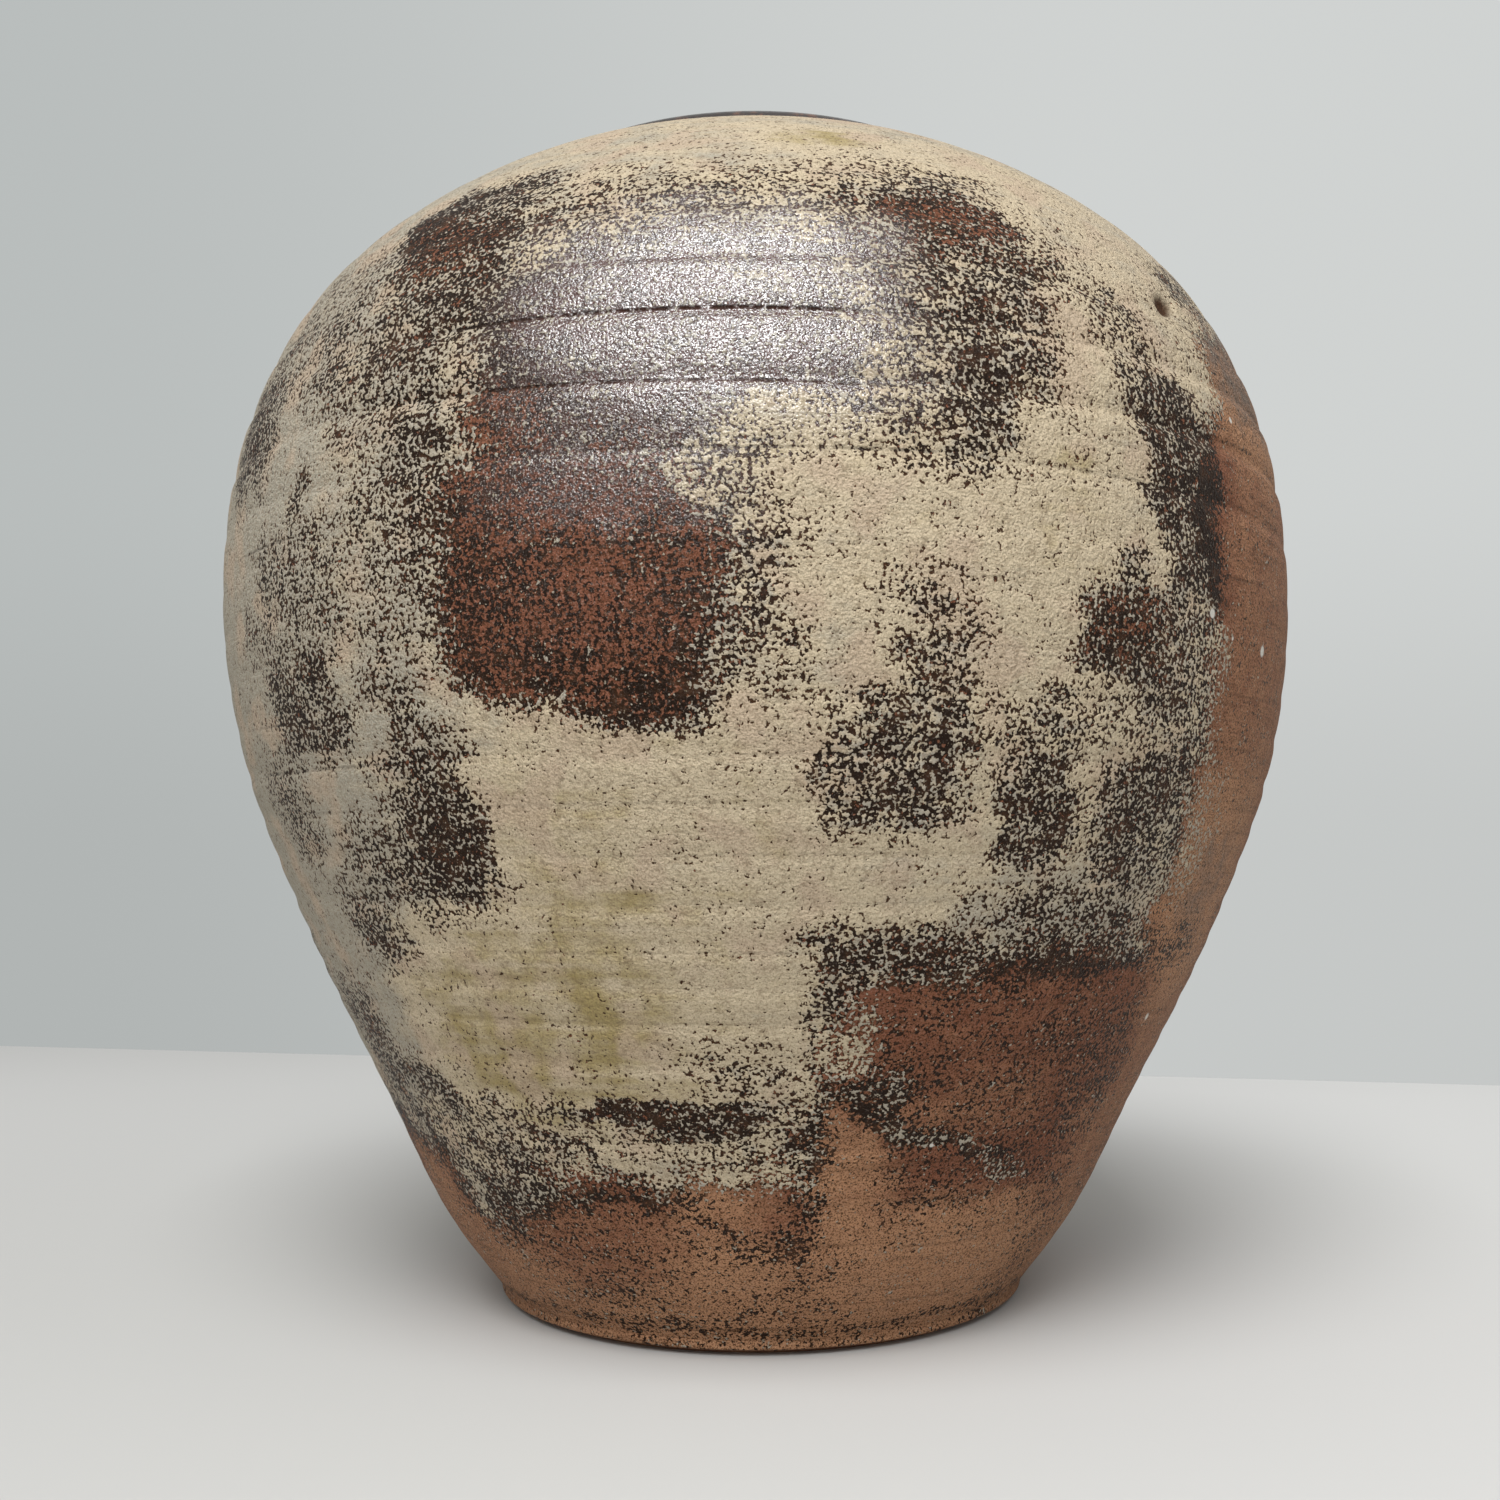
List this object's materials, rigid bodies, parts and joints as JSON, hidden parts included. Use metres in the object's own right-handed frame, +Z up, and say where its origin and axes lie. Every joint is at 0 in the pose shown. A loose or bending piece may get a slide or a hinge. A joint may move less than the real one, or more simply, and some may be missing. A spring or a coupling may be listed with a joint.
{
  "type": "ikebana vase",
  "caption": "Ovoid stoneware flower jar with a full shoulder, a low rounded rim and a narrow foot, its bare iron-red wall patched with speckled cream ash glaze.",
  "frame": {"origin": "centre of the foot ring, on the plane that the jar stands on", "axes": "+Z up along the turning axis, -Y towards the side that the picture shows"},
  "size_m": [0.2854, 0.2854, 0.3],
  "materials": {
    "foot_ring": "bare fired stoneware, matt, worn where it stands",
    "base_dish": "bare tan-brown stoneware with a smooth turned edge",
    "lower_wall": "iron-red to tan stoneware with a ragged edge of cream ash, satin",
    "flank_wall": "yellowish cream ash glaze over iron-red stoneware, satin",
    "belly_wall": "speckled cream ash glaze with bare red-brown patches, satin",
    "upper_wall": "speckled cream ash glaze with dark purple-brown patches, satin to glossy",
    "shoulder_wall": "thick cream ash glaze with dark specks, satin to glossy",
    "mouth_ring": "cream ash on the shoulder and a glossy dark brown rim"
  },
  "bodies": {
    "root": {"foot_ring": "foot_ring", "base_dish": "base_dish", "lower_wall": "lower_wall", "flank_wall": "flank_wall", "belly_wall": "belly_wall", "upper_wall": "upper_wall", "shoulder_wall": "shoulder_wall", "mouth_ring": "mouth_ring"}
  },
  "joints": []
}
